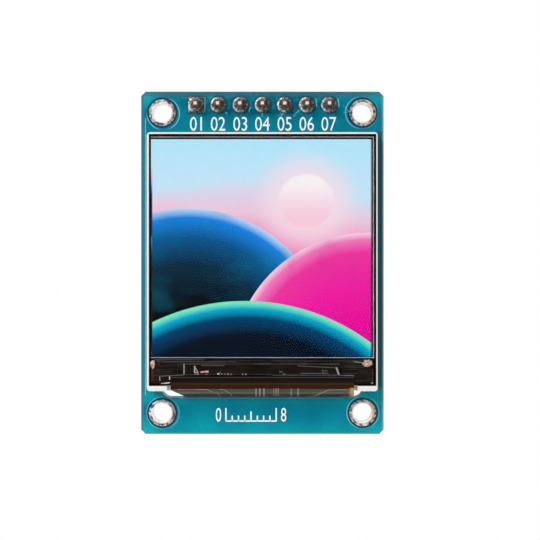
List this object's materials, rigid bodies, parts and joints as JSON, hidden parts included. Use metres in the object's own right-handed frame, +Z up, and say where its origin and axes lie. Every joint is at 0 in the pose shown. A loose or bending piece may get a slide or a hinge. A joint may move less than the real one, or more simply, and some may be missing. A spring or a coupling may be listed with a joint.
{
  "type": "tft display module",
  "caption": "Small square colour display panel taped to a blue circuit board with corner fixing holes, a pin header behind and a flex that bends through a slot.",
  "frame": {"origin": "centre of the four fixing holes, on the rear face of the circuit board", "axes": "+X to the right across the board as seen from the screen side, +Y out of the board's rear along the header pins, +Z up the board towards the header; the screen faces -Y"},
  "size_m": [0.0278, 0.0119, 0.0392],
  "materials": {
    "laminate": "woven glass laminate, seen at the board's edges and round its holes",
    "solder_mask": "glossy teal-blue solder mask over copper",
    "gilt_pad": "bare copper pad with a thin gold finish",
    "tinned_ring": "tinned copper ring and hole lining, slightly uneven",
    "pin_metal": "square drawn brass pin, gilt over nickel",
    "housing_black": "moulded black plastic",
    "solder": "bright tin solder, flowed",
    "tape": "double-sided black tape",
    "mirror_sheet": "silvered plastic sheet",
    "frame_white": "moulded white plastic",
    "clear_acrylic": "clear acrylic plate",
    "diffuser": "milky film",
    "prism_film": "finely ribbed film",
    "flex_film": "amber film over etched copper",
    "lamp_body": "yellow phosphor in a white cup",
    "shield_black": "black tape",
    "rear_polarizer": "grey film",
    "ledge_glass": "dark glass with etched tracks",
    "border_black": "black printed border",
    "picture_sky": "lit field of the screen: pale blue sky",
    "picture_sun": "lit field of the screen: pale pink sun",
    "picture_far_hill": "lit field of the screen: magenta hill",
    "picture_mid_hill": "lit field of the screen: blue hill",
    "picture_near_hill": "lit field of the screen: near-black hill",
    "filter_glass": "thin clear glass",
    "front_polarizer": "clear hard-coated film",
    "driver_silicon": "polished bare silicon",
    "silver_paste": "dull silver paste",
    "capacitor_ceramic": "tan ceramic",
    "resistor_black": "black glaze on white ceramic",
    "tinned_end": "tinned metal end",
    "package_black": "moulded black epoxy",
    "tinned_lead": "tinned lead"
  },
  "bodies": {
    "root": {"board": "laminate", "solder_mask_front": "solder_mask", "solder_mask_rear": "solder_mask", "header_pads": "gilt_pad", "rear_pads": "gilt_pad", "fixing_ring_1": "tinned_ring", "fixing_ring_2": "tinned_ring", "fixing_ring_3": "tinned_ring", "fixing_ring_4": "tinned_ring", "pin_1": "pin_metal", "pin_2": "pin_metal", "pin_3": "pin_metal", "pin_4": "pin_metal", "pin_5": "pin_metal", "pin_6": "pin_metal", "pin_7": "pin_metal", "header_housing": "housing_black", "header_solder": "solder", "tail_solder": "solder", "chip_solder_joints": "solder", "mounting_tape": "tape", "reflector": "mirror_sheet", "backlight_frame": "frame_white", "light_guide": "clear_acrylic", "diffuser_film": "diffuser", "prism_film_lower": "prism_film", "prism_film_upper": "prism_film", "lamp_strip": "flex_film", "flex_tail": "flex_film", "lamp_1": "lamp_body", "lamp_2": "lamp_body", "lamp_3": "lamp_body", "lamp_4": "lamp_body", "shield_tape": "shield_black", "rear_polarizer": "rear_polarizer", "lower_glass": "ledge_glass", "cell_border": "border_black", "picture_sky": "picture_sky", "picture_sun": "picture_sun", "picture_far_hill": "picture_far_hill", "picture_mid_hill": "picture_mid_hill", "picture_near_hill": "picture_near_hill", "filter_glass": "filter_glass", "front_polarizer": "front_polarizer", "driver_chip": "driver_silicon", "paste_dot_left": "silver_paste", "paste_dot_right": "silver_paste", "capacitor_1": "capacitor_ceramic", "capacitor_2": "capacitor_ceramic", "capacitor_3": "capacitor_ceramic", "resistor_1": "resistor_black", "resistor_2": "resistor_black", "resistor_3": "resistor_black", "resistor_4": "resistor_black", "chip_ends": "tinned_end", "regulator": "package_black", "transistor": "package_black", "regulator_leads": "tinned_lead", "transistor_leads": "tinned_lead"}
  },
  "joints": []
}
